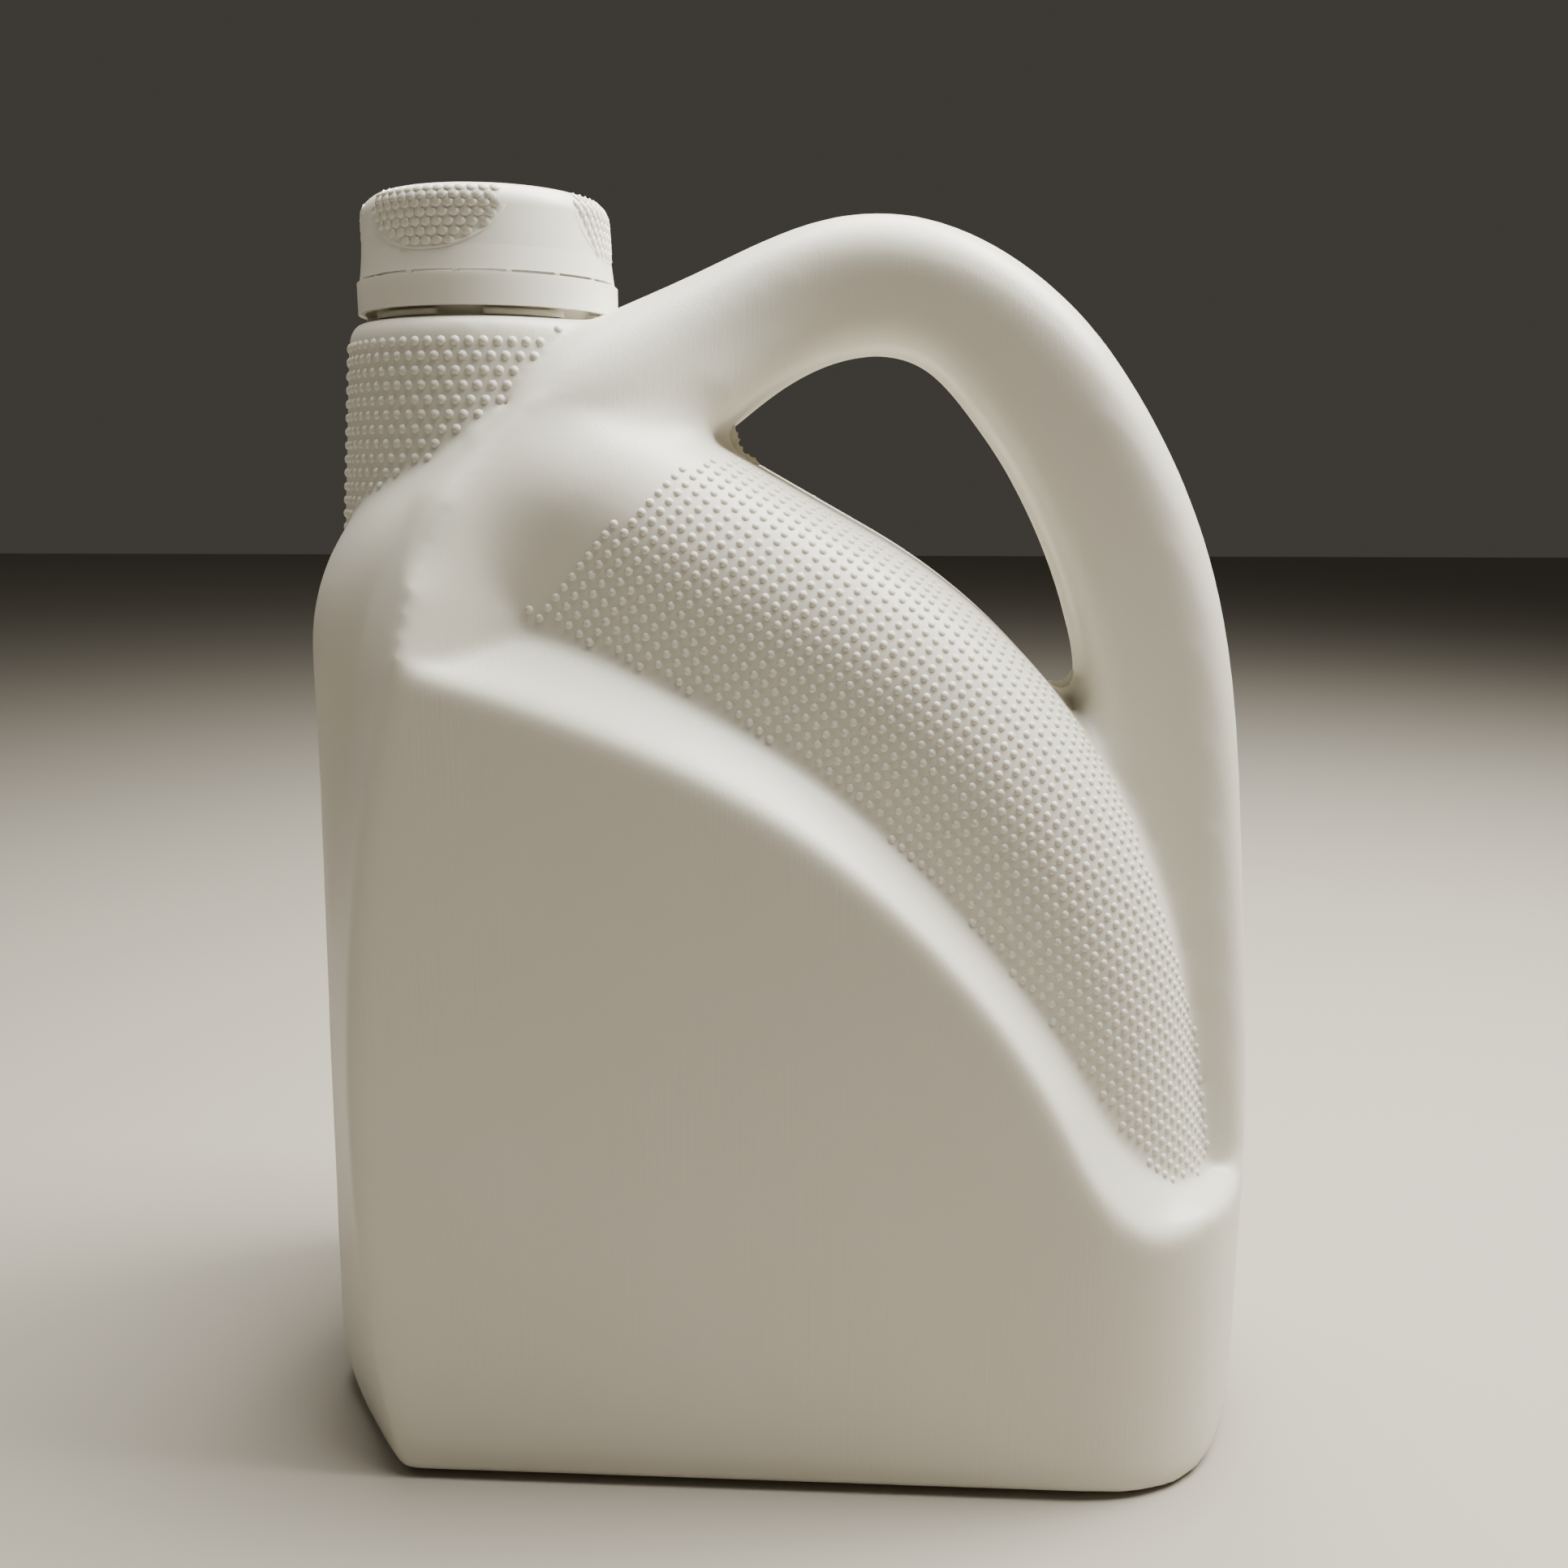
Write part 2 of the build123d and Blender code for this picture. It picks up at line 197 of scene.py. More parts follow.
class NodeTree:
    """A tree of nodes, with a short way to add and feed them."""

    def __init__(self, tree: bpy.types.NodeTree) -> None:
        """Take up a tree."""
        self.tree = tree

    def feed(self, node: bpy.types.Node, feeds: Feeds) -> None:
        """Link or set the inputs of a node.

        Args:
            node: The node.
            feeds: Name or number of each input, with the socket or the value that feeds it.
        """
        for key, value in feeds.items():
            if isinstance(value, bpy.types.NodeSocket):
                self.tree.links.new(value, node.inputs[key])
            else:
                node.inputs[key].default_value = value

    def add(self, kind: str, feeds: Feeds | None = None, **values: object) -> bpy.types.Node:
        """Add a node.

        Args:
            kind: Kind of the node.
            feeds: What feeds its inputs.
            **values: Properties to set on it.

        Returns:
            The new node.
        """
        node = self.tree.nodes.new(kind)
        for key, value in values.items():
            setattr(node, key, value)
        self.feed(node, feeds or {})
        return node

    def worked_out(self, operation: str, *numbers: bpy.types.NodeSocket | float) -> bpy.types.NodeSocket:
        """The product, sum or other result of one or two numbers."""
        return self.add("ShaderNodeMath", dict(enumerate(numbers)), operation=operation).outputs[0]


class NodeGroup(NodeTree):
    """A node group with named inputs and outputs."""

    def __init__(self, name: str, kind: str) -> None:
        """Start an empty group.

        Args:
            name: Name of the group.
            kind: Kind of its tree.
        """
        super().__init__(bpy.data.node_groups.new(name, kind))
        self.inside = self.add("NodeGroupInput")
        self.outside = self.add("NodeGroupOutput")

    def takes(self, name: str, kind: str, value: float | Colour | None = None) -> None:
        """Add a named input.

        Args:
            name: Name of the input.
            kind: Kind of its socket, such as Float.
            value: Its default, if it has one.
        """
        socket = self.tree.interface.new_socket(name, in_out="INPUT", socket_type=f"NodeSocket{kind}")
        if value is not None:
            socket.default_value = value

    def gives(self, name: str, kind: str) -> None:
        """Add a named output."""
        self.tree.interface.new_socket(name, in_out="OUTPUT", socket_type=f"NodeSocket{kind}")


class ShaderGroup(NodeGroup):
    """A shader node group that works in the object's own coordinates."""

    def __init__(self, name: str) -> None:
        """Start a group with the place of each point at hand."""
        super().__init__(name, "ShaderNodeTree")
        self.place = self.add("ShaderNodeTexCoord").outputs["Object"]

    def noise(self, scale: float | bpy.types.NodeSocket, **feeds: object) -> bpy.types.NodeSocket:
        """A noise that is read at the point's own place, unless it is given a Vector."""
        return self.add("ShaderNodeTexNoise", {"Scale": scale, "Vector": self.place, **feeds}).outputs["Fac"]

    def between(self, value: bpy.types.NodeSocket, low: float, high: float) -> bpy.types.NodeSocket:
        """A number whose range from low to high is stretched into 0 to 1."""
        feeds = {"Value": value, "From Min": low, "From Max": high}
        return self.add("ShaderNodeMapRange", feeds).outputs["Result"]


def machining_group() -> bpy.types.NodeTree:
    """Fine upright lines that the machined mould leaves in the plastic.

    Returns:
        A group with Strength in and Height out.
    """
    group = ShaderGroup("machining_lines")
    group.takes("Strength", "Float", 1.0)
    group.gives("Height", "Float")
    stretch = group.add("ShaderNodeMapping", {"Vector": group.place, "Scale": (1.0, 1.0, 0.012)})
    lines = group.noise(1600.0, Vector=stretch.outputs["Vector"])
    patches = group.between(group.noise(22.0), 0.42, 0.62)
    broken = group.worked_out("MULTIPLY", lines, patches)
    height = group.worked_out("MULTIPLY", broken, group.inside.outputs["Strength"])
    group.feed(group.outside, {"Height": height})
    return group.tree


def skin_grain_group() -> bpy.types.NodeTree:
    """Soft waviness and the finest grain of moulded polyethylene.

    Returns:
        A group with Wave and Grain in and Height out.
    """
    group = ShaderGroup("plastic_grain")
    group.takes("Wave", "Float", 1.0)
    group.takes("Grain", "Float", 1.0)
    group.gives("Height", "Float")
    given = group.inside.outputs
    wave = group.worked_out("MULTIPLY", group.noise(45.0), given["Wave"])
    grain = group.worked_out("MULTIPLY", group.noise(1900.0, Detail=1.0), given["Grain"])
    group.feed(group.outside, {"Height": group.worked_out("ADD", wave, grain)})
    return group.tree


def cloud_group() -> bpy.types.NodeTree:
    """Slow, faint changes of tone over the plastic.

    Returns:
        A group with Colour, Shade and Amount in and Colour and Mask out.
    """
    group = ShaderGroup("plastic_tone")
    group.takes("Colour", "Color", (0.8, 0.8, 0.8, 1.0))
    group.takes("Shade", "Color", (0.7, 0.7, 0.7, 1.0))
    group.takes("Amount", "Float", 0.5)
    group.gives("Colour", "Color")
    group.gives("Mask", "Float")
    given = group.inside.outputs
    cloud = group.between(group.noise(16.0, Detail=5.0, Roughness=0.6), 0.35, 0.7)
    amount = group.worked_out("MULTIPLY", cloud, given["Amount"])
    feeds = {"Factor": amount, "A": given["Colour"], "B": given["Shade"]}
    mix = group.add("ShaderNodeMix", feeds, data_type="RGBA")
    group.feed(group.outside, {"Colour": mix.outputs["Result"], "Mask": amount})
    return group.tree


def parting_group() -> bpy.types.NodeTree:
    """The fine raised line that the two mould halves leave along the middle plane.

    Returns:
        A group with Width and Strength in and Height out.
    """
    group = ShaderGroup("parting_line")
    group.takes("Width", "Float", 0.0005)
    group.takes("Strength", "Float", 1.0)
    group.gives("Height", "Float")
    given = group.inside.outputs
    split = group.add("ShaderNodeSeparateXYZ", {"Vector": group.place})
    away = group.worked_out("ABSOLUTE", split.outputs["Y"])
    feeds = {"Value": away, "From Max": given["Width"], "To Min": 1.0, "To Max": 0.0}
    ridge = group.add("ShaderNodeMapRange", feeds, interpolation_type="SMOOTHSTEP")
    height = group.worked_out("MULTIPLY", ridge.outputs["Result"], given["Strength"])
    group.feed(group.outside, {"Height": height})
    return group.tree


@dataclass(frozen=True)
class Groups:
    """The shader groups that the finishes share."""

    machining: bpy.types.NodeTree
    grain: bpy.types.NodeTree
    tone: bpy.types.NodeTree
    parting: bpy.types.NodeTree


def shared_groups() -> Groups:
    """Build each shared shader group once."""
    return Groups(machining_group(), skin_grain_group(), cloud_group(), parting_group())


@dataclass(frozen=True)
class Plastic:
    """A satin moulded polyethylene."""

    name: str
    colour: Colour = (0.72, 0.69, 0.6)
    shade: Colour = (0.67, 0.63, 0.53)
    cloud: float = 0.35
    roughness: float = 0.42
    smoother: float = 0.04
    rougher: float = 0.1
    translucence: float = 0.12
    glow_colour: Colour = (1.0, 0.85, 0.6)
    glow_depth: float = 0.004
    lines: float = 0.0
    parting: float = 0.0
    grain: float = 0.06
    wave: float = 0.5
    relief: float = 0.0002

    def material(self, groups: Groups) -> bpy.types.Material:
        """Make the material.

        Args:
            groups: The shared shader groups.

        Returns:
            The finished material.
        """
        material = bpy.data.materials.new(self.name)
        material.use_nodes = True
        nodes = NodeTree(material.node_tree)
        shader = material.node_tree.nodes["Principled BSDF"]
        colours = {"Colour": (*self.colour, 1.0), "Shade": (*self.shade, 1.0), "Amount": self.cloud}
        tone = nodes.add("ShaderNodeGroup", colours, node_tree=groups.tone)
        rough = nodes.add("ShaderNodeMapRange", {
            "Value": tone.outputs["Mask"],
            "To Min": self.roughness - self.smoother,
            "To Max": self.roughness + self.rougher,
        })
        height = self._height(nodes, groups)
        bump = nodes.add("ShaderNodeBump", {"Height": height, "Strength": 0.6, "Distance": self.relief})
        shader.inputs["Roughness"].default_value = self.roughness
        nodes.feed(shader, {
            "Base Color": tone.outputs["Colour"],
            "Roughness": rough.outputs["Result"],
            "Normal": bump.outputs["Normal"],
            "IOR": 1.5,
            "Subsurface Weight": self.translucence,
            "Subsurface Radius": self.glow_colour,
            "Subsurface Scale": self.glow_depth,
        })
        return material

    def _height(self, nodes: NodeTree, groups: Groups) -> bpy.types.NodeSocket:
        """Add up the heights of the grain and of each line that this plastic has.

        Args:
            nodes: Nodes of the material.
            groups: The shared shader groups.

        Returns:
            The socket of the whole height.
        """
        feeds = {"Wave": self.wave, "Grain": self.grain}
        height = nodes.add("ShaderNodeGroup", feeds, node_tree=groups.grain).outputs["Height"]
        for group, strength in ((groups.machining, self.lines), (groups.parting, self.parting)):
            if strength:
                relief = nodes.add("ShaderNodeGroup", {"Strength": strength}, node_tree=group)
                height = nodes.worked_out("ADD", height, relief.outputs["Height"])
        return height


class GeometryGroup(NodeGroup):
    """A Geometry Nodes tree with named inputs that gives one geometry."""

    def __init__(self, name: str) -> None:
        """Start a tree that takes and gives one geometry.

        Args:
            name: Name of the tree.
        """
        super().__init__(name, "GeometryNodeTree")
        self.takes("Geometry", "Geometry")
        self.gives("Geometry", "Geometry")

    def run(self, piece: bpy.types.Object, name: str, **values: object) -> bpy.types.Object:
        """Run the tree on a piece and keep the result as a plain mesh.

        Args:
            piece: Object that carries the points. It is removed.
            name: Name of the result.
            **values: Values of the named inputs, with _ for a space.

        Returns:
            The plain mesh object.
        """
        modifier = piece.modifiers.new(name, "NODES")
        modifier.node_group = self.tree
        for item in self.tree.interface.items_tree:
            key = item.name.replace(" ", "_")
            if item.in_out == "INPUT" and key in values:
                modifier[item.identifier] = values[key]
        return plain_copy(piece, name)


def studs_tree() -> GeometryGroup:
    """The tree that sets one stud on each point, seated on a skin and square to it.

    Returns:
        A tree with the inputs Skin, Stud, Stud size, Reach and Finish.
    """
    nodes = GeometryGroup("studs_on_skin")
    nodes.takes("Skin", "Object")
    nodes.takes("Stud", "Object")
    nodes.takes("Stud size", "Float")
    nodes.takes("Reach", "Float")
    nodes.takes("Finish", "Material")
    source = nodes.inside.outputs
    skin = nodes.add("GeometryNodeObjectInfo", {"Object": source["Skin"]}).outputs["Geometry"]
    stud = nodes.add("GeometryNodeObjectInfo", {"Object": source["Stud"]}).outputs["Geometry"]
    place = nodes.add("GeometryNodeInputPosition").outputs["Position"]
    normal = nodes.add("GeometryNodeInputNormal").outputs["Normal"]
    seat = nodes.add("GeometryNodeProximity", {"Geometry": skin}, target_element="FACES")
    upright = nodes.add(
        "GeometryNodeSampleNearestSurface", {"Mesh": skin, "Value": normal, "Sample Position": place},
        data_type="FLOAT_VECTOR",
    )
    far = nodes.add(
        "FunctionNodeCompare", {"A": seat.outputs["Distance"], "B": source["Reach"]},
        data_type="FLOAT", operation="GREATER_THAN",
    )
    near = nodes.add(
        "GeometryNodeDeleteGeometry", {"Geometry": source["Geometry"], "Selection": far.outputs["Result"]},
        domain="POINT",
    )
    seated = nodes.add("GeometryNodeSetPosition", {
        "Geometry": near.outputs["Geometry"],
        "Position": seat.outputs["Position"],
    })
    aim = nodes.add("FunctionNodeAlignRotationToVector", {"Vector": upright.outputs["Value"]}, axis="Z")
    copies = nodes.add("GeometryNodeInstanceOnPoints", {
        "Points": seated.outputs["Geometry"],
        "Instance": stud,
        "Rotation": aim.outputs["Rotation"],
        "Scale": source["Stud size"],
    })
    solid = nodes.add("GeometryNodeRealizeInstances", {"Geometry": copies.outputs["Instances"]})
    finish = nodes.add(
        "GeometryNodeSetMaterial", {"Geometry": solid.outputs["Geometry"], "Material": source["Finish"]}
    )
    nodes.feed(nodes.outside, {"Geometry": finish.outputs["Geometry"]})
    return nodes


# Studs and scales


class StudShape(Enum):
    """The two kinds of grip texture."""

    DOME = "dome"
    SCALE = "scale"


STUD_SIDES = 10
DOME_RINGS = ((1.0, -0.06), (0.88, 0.12), (0.66, 0.34), (0.34, 0.47))
DOME_TOP = 0.52
SCALE_ROOT = (0.0, 0.75, -0.04)
SCALE_EDGES = ((1.0, 0.3), (1.12, -0.1))


def dome_form() -> tuple[list[Point], list[Face]]:
    """Points and faces of a round dome."""
    points = [
        (r * math.cos(math.tau * i / STUD_SIDES), r * math.sin(math.tau * i / STUD_SIDES), h)
        for r, h in DOME_RINGS
        for i in range(STUD_SIDES)
    ]
    top = len(points)
    last = top - STUD_SIDES
    faces = swept_faces(len(DOME_RINGS) - 1, STUD_SIDES)
    faces += [(last + i, last + (i + 1) % STUD_SIDES, top) for i in range(STUD_SIDES)]
    return points + [(0.0, 0.0, DOME_TOP)], faces


def scale_form() -> tuple[list[Point], list[Face]]:
    """Points and faces of a scale whose lower edge is a raised half circle."""
    points = [SCALE_ROOT]
    for radius, height in SCALE_EDGES:
        for i in range(STUD_SIDES + 1):
            angle = -math.pi * i / STUD_SIDES
            points.append((radius * math.cos(angle), radius * math.sin(angle), height))
    faces = [(0, 2 + i, 1 + i) for i in range(STUD_SIDES)]
    return points, faces + swept_faces(1, STUD_SIDES + 1, closed=False, first=1)


def stud_mesh(shape: StudShape) -> bpy.types.Object:
    """One stud of unit radius that stands on the plane z = 0.

    Args:
        shape: A round dome or a scale.

    Returns:
        The template object.
    """
    points, faces = dome_form() if shape is StudShape.DOME else scale_form()
    mesh = bpy.data.meshes.new(f"one_{shape.value}")
    mesh.from_pydata(points, [], faces)
    mesh.shade_smooth()
    return mesh_object(f"one_{shape.value}", mesh)


@dataclass(frozen=True)
class StudSetter:
    """Sets one kind of stud on points near a surface."""

    tree: GeometryGroup
    stud: bpy.types.Object

    def place(
        self, name: str, points: list[Point], surface: bpy.types.Object, size: float, reach: float,
        material: bpy.types.Material,
    ) -> bpy.types.Object:
        """Set a stud on each point that lies near the surface.

        Args:
            name: Name of the piece.
            points: Places in millimetres.
            surface: What carries the studs.
            size: Radius of a stud in millimetres.
            reach: How far from the surface a point may lie, in millimetres.
            material: Finish of the studs.

        Returns:
            All the studs as one plain mesh object.
        """
        cloud = mesh_object(name, mesh_from(name, points, []))
        return self.tree.run(
            cloud, name, Skin=surface, Stud=self.stud, Stud_size=size * MM, Reach=reach * MM, Finish=material
        )


# The bottle


@dataclass(frozen=True)
class SoftZone:
    """A stretch of the skin that is blended more than the rest, in millimetres."""

    path: tuple[Point, ...]
    reach: float
    weight: float


class SoftNet:
    """The points of a mesh in millimetres, with the edges between them, for smoothing."""

    def __init__(self, mesh: bpy.types.Mesh) -> None:
        """Read the points and edges of a mesh.

        Args:
            mesh: The mesh, in metres.
        """
        self.mesh = mesh
        self.count = len(mesh.vertices)
        places = np.zeros(self.count * 3)
        mesh.vertices.foreach_get("co", places)
        self.places = places.reshape(-1, 3) / MM
        edges = np.zeros(len(mesh.edges) * 2, dtype=np.int64)
        mesh.edges.foreach_get("vertices", edges)
        self.first, self.second = edges.reshape(-1, 2).T
        self.degree = np.bincount(self.first, minlength=self.count)
        self.degree = self.degree + np.bincount(self.second, minlength=self.count)

    def write(self) -> None:
        """Put the points back into the mesh."""
        self.mesh.vertices.foreach_set("co", (self.places * MM).ravel())
        self.mesh.update()

    def pull(self) -> np.ndarray:
        """The way from each point to the mean place of its neighbours."""
        total = np.zeros_like(self.places)
        for axis in range(3):
            total[:, axis] += np.bincount(
                self.first, weights=self.places[self.second, axis], minlength=self.count
            )
            total[:, axis] += np.bincount(
                self.second, weights=self.places[self.first, axis], minlength=self.count
            )
        return total / self.degree[:, None] - self.places

    def round_off(self, rounds: int, valley: float) -> None:
        """Smooth everything, with the valleys taking only a share of each move.

        Args:
            rounds: How many times each point moves.
            valley: Share of a move that fills a valley.
        """
        self.write()
        normals = np.zeros(self.count * 3)
        self.mesh.vertices.foreach_get("normal", normals)
        normals = normals.reshape(-1, 3)
        for _ in range(rounds):
            move = self.pull()
            move[np.einsum("ij,ij->i", move, normals) > 0] *= valley
            self.places += 0.5 * move

    def blend(self, rounds: int, weight: np.ndarray) -> None:
        """Smooth each point by its own weight.

        Args:
            rounds: How many times each point moves.
            weight: Weight of each point, from 0 to 1.
        """
        for _ in range(rounds):
            self.places += 0.5 * weight[:, None] * self.pull()


LOOK_WAYS = (
    (1, 0.13, 0.07), (-1, 0.11, -0.05), (0.09, 1, 0.06), (-0.07, -1, 0.12),
    (0.6, -0.8, 0.3), (-0.6, 0.8, 0.3), (0.7, 0.7, -0.4), (-0.7, -0.7, 0.5),
    (0.3, -0.2, 1), (-0.25, 0.3, -1), (0.8, -0.1, 0.6), (-0.8, 0.1, 0.6),
)


@dataclass
class BottleSkin:
    """The blow-moulded skin of the bottle, with its soft creases, in millimetres."""

    node: str = "bottle"
    body: str = "bottle"
    voxel: float = 1.25
    even_rounds: int = 3
    soft_rounds: int = 16
    valley_share: float = 0.12
    blend_rounds: int = 140
    crisp_angle: float = 40.0
    neck_reach: float = 28.5
    mouth_reach: float = 22.0
    hole_reach: float = 24.0
    hole_depth: float = 1.5
    web_reach: float = 1.0
    web_facing: float = 0.9
    lift: float = 0.02
    least_facing: float = 0.05
    handle_from_z: float = 150.0
    lining_gap: float = 1.3
    lining_run: float = 12.0
    zones: tuple[SoftZone, ...] = (
        SoftZone(((-20.0, -22.0, 236.0), (-34.0, -28.0, 228.0), (-48.0, -36.0, 216.0)), 13.0, 1.0),
        SoftZone(((-64.0, -50.0, 209.0), (-56.0, -44.4, 219.0), (-44.0, -38.0, 229.0)), 13.0, 1.0),
        SoftZone(((-55.0, -45.0, 209.0), (-50.0, -40.0, 222.0)), 12.0, 0.8),
        SoftZone(((70.0, -5.0, 181.0), (74.0, -9.0, 175.0), (78.0, -13.0, 167.0)), 12.0, 1.0),
        SoftZone(((-15.0, -6.0, 234.0), (-24.0, -13.0, 233.0)), 8.0, 1.0),
    )

    def build(self, material: bpy.types.Material) -> bpy.types.Object:
        """Build the skin with its neck and lining.

        Args:
            material: Finish of the plastic.

        Returns:
            The skin, which stands for the CAD node.
        """
        whole = bmesh.new()
        whole.from_mesh(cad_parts[self.node].data)
        bmesh.ops.remove_doubles(whole, verts=whole.verts, dist=1e-6)
        bmesh.ops.triangulate(whole, faces=whole.faces)
        whole.faces.ensure_lookup_table()
        inner = self._inner_faces(whole)
        lining = self._lining(whole, inner)
        skin = self._remeshed(self._outer_form(whole, inner))
        whole.free()
        self._soften(skin)
        self._open_mouth(skin)
        self._join(skin, lining)
        lining.free()
        shade_smooth(skin, self.crisp_angle)
        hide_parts(self.node)
        finish_piece(skin, self.body, material)
        return skin

    def _is_neck(self, centre: Vector) -> bool:
        """Tell whether a point belongs to the neck above the collar."""
        return centre.z > COLLAR_TOP * MM + 1e-5 and neck_distance(centre) < self.neck_reach * MM

    def _inner_faces(self, whole: bmesh.types.BMesh) -> list[bool]:
        """Find the faces that look into the hollow.

        Args:
            whole: The hollow bottle as one merged mesh.

        Returns:
            One flag for each face.
        """
        tree = BVHTree.FromBMesh(whole)
        ways = [Vector(way).normalized() for way in LOOK_WAYS]
        flags = []
        for face in whole.faces:
            centre = face.calc_center_median()
            on_web = abs(centre.y) < self.web_reach * MM and abs(face.normal.y) > self.web_facing
            start = centre + face.normal * self.lift * MM
            flags.append(not on_web and self._shut_in(tree, start, face.normal, ways))
        return flags

    def _shut_in(self, tree: BVHTree, start: Vector, normal: Vector, ways: list[Vector]) -> bool:
        """Tell whether every way out of a point is blocked, counting the mouth as shut.

        Args:
            tree: The hollow bottle, for rays.
            start: The point, just off its face.
            normal: Way in which its face looks.
            ways: The ways to try.

        Returns:
            True where no way leads outside.
        """
        for way in ways:
            if way.dot(normal) < self.least_facing or tree.ray_cast(start, way)[0] is not None:
                continue
            rise = (COLLAR_TOP * MM - start.z) / way.z if abs(way.z) > 1e-6 else -1.0
            by_mouth = neck_distance(start + way * rise) < self.mouth_reach * MM
            if not (rise > 0 and way.z > 0 and by_mouth):
                return False
        return True

    def _lining(self, whole: bmesh.types.BMesh, inner: list[bool]) -> bmesh.types.BMesh:
        """Copy the neck and the inside of the body, without the inside of the handle.

        Args:
            whole: The hollow bottle.
            inner: One flag for each face that looks into the hollow.

        Returns:
            The copy.
        """
        lining = whole.copy()
        lining.faces.ensure_lookup_table()
        spare = []
        for face in lining.faces:
            centre = face.calc_center_median()
            in_handle = centre.x > 0 and centre.z > self.handle_from_z * MM
            if in_handle or not (inner[face.index] or self._is_neck(centre)):
                spare.append(face)
        bmesh.ops.delete(lining, geom=spare, context="FACES")
        return lining

    def _outer_form(self, whole: bmesh.types.BMesh, inner: list[bool]) -> bpy.types.Object:
        """Strip the hollow bottle to its outside below the neck, and close it.

        Args:
            whole: The hollow bottle. It is changed.
            inner: One flag for each face that looks into the hollow.

        Returns:
            The closed outside.
        """
        spare = [f for f in whole.faces if inner[f.index] or self._is_neck(f.calc_center_median())]
        bmesh.ops.delete(whole, geom=spare, context="FACES")
        bmesh.ops.holes_fill(whole, edges=[e for e in whole.edges if e.is_boundary])
        bmesh.ops.recalc_face_normals(whole, faces=whole.faces)
        mesh = bpy.data.meshes.new("skin_source")
        whole.to_mesh(mesh)
        return mesh_object("skin_source", mesh)

    def _remeshed(self, source: bpy.types.Object) -> bpy.types.Object:
        """Cover the form with an even net of small faces.

        Args:
            source: The closed outside. It is removed.

        Returns:
            The net.
        """
        remesh = source.modifiers.new("net", "REMESH")
        remesh.mode = "VOXEL"
        remesh.voxel_size = self.voxel * MM
        return plain_copy(source, "bottle_skin")

    def _zone_weight(self, places: np.ndarray) -> np.ndarray:
        """How strongly each point takes part in the long blending rounds.

        Args:
            places: Points in millimetres.

        Returns:
            A weight from 0 to 1 for each point.
        """
        weight = np.zeros(len(places))
        folded = places.copy()
        folded[:, 1] = -np.abs(folded[:, 1])
        for zone in self.zones:
            for start, end in zip(zone.path, zone.path[1:]):
                a = np.array(start)
                run = np.array(end) - a
                along = np.clip((folded - a) @ run / (run @ run), 0, 1)
                gap = np.linalg.norm(folded - a - along[:, None] * run, axis=1)
                fall = np.clip(1 - gap / zone.reach, 0, 1)
                weight = np.maximum(weight, zone.weight * fall * fall * (3 - 2 * fall))
        return weight

    def _soften(self, skin: bpy.types.Object) -> None:
        """Round the creases, and blend the soft zones further.

        Args:
            skin: The net. It is changed.
        """
        net = SoftNet(skin.data)
        weight = self._zone_weight(net.places)
        net.round_off(self.even_rounds, 1.0)
        net.round_off(self.soft_rounds, self.valley_share)
        net.blend(self.blend_rounds, weight)
        net.write()

    def _open_mouth(self, skin: bpy.types.Object) -> None:
        """Cut the hole in the collar's top where the neck stands.

        Args:
            skin: The softened net. It is changed.
        """
        cut = bmesh.new()
        cut.from_mesh(skin.data)
        low = (COLLAR_TOP - self.hole_depth) * MM
        spare = []
        for face in cut.faces:
            centre = face.calc_center_median()
            if centre.z > low and neck_distance(centre) < self.hole_reach * MM:
                spare.append(face)
        bmesh.ops.delete(cut, geom=spare, context="FACES")
        cut.to_mesh(skin.data)
        cut.free()

    def _join(self, skin: bpy.types.Object, lining: bmesh.types.BMesh) -> None:
        """Add the neck and the lining to the skin, with the lining drawn in below the neck.

        Args:
            skin: The softened net. It is changed.
            lining: The neck and the inside. It is changed.
        """
        lining.normal_update()
        for vert in lining.verts:
            depth = (COLLAR_TOP * MM - vert.co.z) / (self.lining_run * MM)
            vert.co += vert.normal * (self.lining_gap * MM * min(1.0, max(0.0, depth)))
        extra = bpy.data.meshes.new("lining")
        lining.to_mesh(extra)
        joined = bmesh.new()
        joined.from_mesh(skin.data)
        joined.from_mesh(extra)
        joined.to_mesh(skin.data)
        joined.free()
        bpy.data.meshes.remove(extra)


@dataclass(frozen=True)
class PinchFlash:
    """The torn edge of a web in a corner of the finger gap, in millimetres."""

    name: str
    start: tuple[float, float]
    middle: tuple[float, float]
    end: tuple[float, float]
    teeth: int = 30
    shortest: float = -0.2
    longest: float = 0.9
    root: float = 1.6
    thickness: float = 0.6
    seed: int = 7

    def build(self, material: bpy.types.Material) -> bpy.types.Object:
        """Build the thin torn strip along the web's free edge.

        Args:
            material: Finish of the plastic.

        Returns:
            The strip as a closed piece.
        """
        first, through, last = (np.array(p) for p in (self.start, self.middle, self.end))
        bend = 2 * through - (first + last) / 2
        share = np.linspace(0, 1, self.teeth)[:, None]
        edge = (1 - share) ** 2 * first + 2 * share * (1 - share) * bend + share**2 * last
        along = np.gradient(edge, axis=0)
        along /= np.linalg.norm(along, axis=1)[:, None]
        towards_gap = np.stack((-along[:, 1], along[:, 0]), axis=1)
        reach = np.random.default_rng(self.seed).uniform(self.shortest, 1.0, self.teeth)[:, None]
        tips = edge + towards_gap * reach * self.longest
        roots = edge - towards_gap * self.root
        half = self.thickness / 2
        points = []
        for root, tip in zip(roots, tips):
            points += [(root[0], -half, root[1]), (tip[0], 0.0, tip[1]), (root[0], half, root[1])]
        faces = end_faces(self.teeth - 1, 3) + swept_faces(self.teeth - 1, 3)
        flash = mesh_object(self.name, outward(mesh_from(self.name, points, faces)))
        finish_piece(flash, "bottle", material)
        return flash


